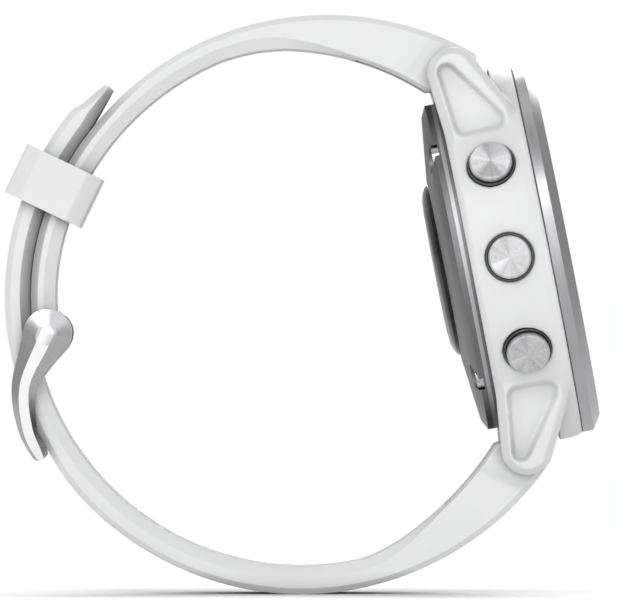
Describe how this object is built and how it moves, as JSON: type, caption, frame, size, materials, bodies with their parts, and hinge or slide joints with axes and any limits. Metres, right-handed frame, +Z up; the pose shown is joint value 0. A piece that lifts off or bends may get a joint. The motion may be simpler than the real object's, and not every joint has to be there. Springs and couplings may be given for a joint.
{
  "type": "gps running watch",
  "caption": "Round GPS running watch with steel bezel and side buttons on a closed white silicone strap with buckle, keeper and quick-release ends.",
  "frame": {"origin": "on the surface that the strap stands on, under the middle of the watch's footprint; the strap's middle plane is Y = 0", "axes": "+Z up through the standing strap towards 12 o'clock, +X out through the dial side, +Y across the strap towards 3 o'clock; the dial's own normal leans 11.15 degrees up from +X"},
  "size_m": [0.0671, 0.0437, 0.0652],
  "materials": {
    "case_polymer": "fine matt moulded polymer, white",
    "bezel_steel": "circular brushed side, satin chamfer",
    "lens_glass": "polished, clear",
    "black_seal": "soft black seal",
    "dial_ring": "matt black with pale minute marks",
    "display": "dark reflective display",
    "inner_frame": "glass-filled black",
    "battery_foil": "embossed foil",
    "circuit_board": "green solder mask",
    "tin_plate": "tinned pressing",
    "motor_steel": "drawn steel can",
    "antenna": "gilt strip",
    "back_steel": "satin blasted steel",
    "screw_steel": "satin with bright edges",
    "sensor_gloss": "polished black",
    "sensor_leds": "clear encapsulated emitters",
    "collar_steel": "dark satin ring",
    "bar_steel": "ground steel",
    "strap_silicone": "soft matt silicone, white",
    "latch_steel": "satin pressing",
    "spring_steel": "bright spring wire",
    "buckle_steel": "satin with a polished facet",
    "button_steel": "spun steel face"
  },
  "bodies": {
    "watch": {"housing": "case_polymer", "bezel_ring": "bezel_steel", "display_lens": "lens_glass", "lens_gasket": "black_seal", "dial_ring": "dial_ring", "display_panel": "display", "inner_frame": "inner_frame", "battery_cell": "battery_foil", "main_board": "circuit_board", "shield_can": "tin_plate", "vibration_motor": "motor_steel", "gps_antenna": "antenna", "buzzer": "inner_frame", "back_plate": "back_steel", "back_gasket": "black_seal", "back_screws": "screw_steel", "sensor_window": "sensor_gloss", "sensor_board": "circuit_board", "sensor_leds": "sensor_leds", "charge_socket": "inner_frame", "charge_contacts": "antenna", "button_collars": "collar_steel", "side_switches": "inner_frame", "lug_bar_top": "bar_steel", "lug_bar_bottom": "bar_steel", "strap_short": "strap_silicone", "strap_long": "strap_silicone", "latch_plate_top": "latch_steel", "latch_plate_bottom": "latch_steel", "buckle_pin": "bar_steel", "latch_spring_top": "spring_steel", "latch_spring_bottom": "spring_steel", "spring_light": "spring_steel", "spring_up": "spring_steel", "spring_down": "spring_steel", "spring_start": "spring_steel", "spring_back": "spring_steel"},
    "button_light": {"button_light": "button_steel", "seal_light": "black_seal", "clip_light": "spring_steel"},
    "button_up": {"button_up": "button_steel", "seal_up": "black_seal", "clip_up": "spring_steel"},
    "button_down": {"button_down": "button_steel", "seal_down": "black_seal", "clip_down": "spring_steel"},
    "button_start": {"button_start": "button_steel", "seal_start": "black_seal", "clip_start": "spring_steel"},
    "button_back": {"button_back": "button_steel", "seal_back": "black_seal", "clip_back": "spring_steel"},
    "latch_top": {"latch_slider_top": "latch_steel"},
    "latch_bottom": {"latch_slider_bottom": "latch_steel"},
    "keeper": {"keeper": "strap_silicone"},
    "buckle": {"buckle_frame": "buckle_steel"},
    "tongue": {"buckle_tongue": "buckle_steel"}
  },
  "joints": [
    {"name": "light_press", "type": "slide", "parent": "watch", "child": "button_light", "axis": [0.0967, 0.866, -0.4906], "range_m": [0, 0.0007], "stiffness_N_per_m": 2500, "springref_m": -0.0004, "deforming": ["spring_light"]},
    {"name": "up_press", "type": "slide", "parent": "watch", "child": "button_up", "axis": [0, 1, 0], "range_m": [0, 0.0007], "stiffness_N_per_m": 2500, "springref_m": -0.0004, "deforming": ["spring_up"]},
    {"name": "down_press", "type": "slide", "parent": "watch", "child": "button_down", "axis": [-0.0967, 0.866, 0.4906], "range_m": [0, 0.0007], "stiffness_N_per_m": 2500, "springref_m": -0.0004, "deforming": ["spring_down"]},
    {"name": "start_press", "type": "slide", "parent": "watch", "child": "button_start", "axis": [0.0967, -0.866, -0.4906], "range_m": [0, 0.0007], "stiffness_N_per_m": 2500, "springref_m": -0.0004, "deforming": ["spring_start"]},
    {"name": "back_press", "type": "slide", "parent": "watch", "child": "button_back", "axis": [-0.0967, -0.866, 0.4906], "range_m": [0, 0.0007], "stiffness_N_per_m": 2500, "springref_m": -0.0004, "deforming": ["spring_back"]},
    {"name": "latch_top_slide", "type": "slide", "parent": "watch", "child": "latch_top", "axis": [-0.9205, 0, 0.3907], "range_m": [0, 0.002], "stiffness_N_per_m": 600, "springref_m": -0.001, "deforming": ["latch_spring_top"]},
    {"name": "latch_bottom_slide", "type": "slide", "parent": "watch", "child": "latch_bottom", "axis": [-0.632, 0, -0.7749], "range_m": [0, 0.002], "stiffness_N_per_m": 600, "springref_m": -0.001, "deforming": ["latch_spring_bottom"]},
    {"name": "keeper_slide", "type": "hinge", "parent": "watch", "child": "keeper", "pos_m": [-0.002, 0, 0.0336], "axis": [0, 1, 0], "range_deg": [-19, 11]},
    {"name": "buckle_swing", "type": "hinge", "parent": "watch", "child": "buckle", "pos_m": [-0.0286, 0, 0.0294], "axis": [0, 1, 0], "range_deg": [0, 20]},
    {"name": "tongue_swing", "type": "hinge", "parent": "buckle", "child": "tongue", "pos_m": [-0.0286, 0, 0.0294], "axis": [0, 1, 0], "range_deg": [0, 15]}
  ]
}
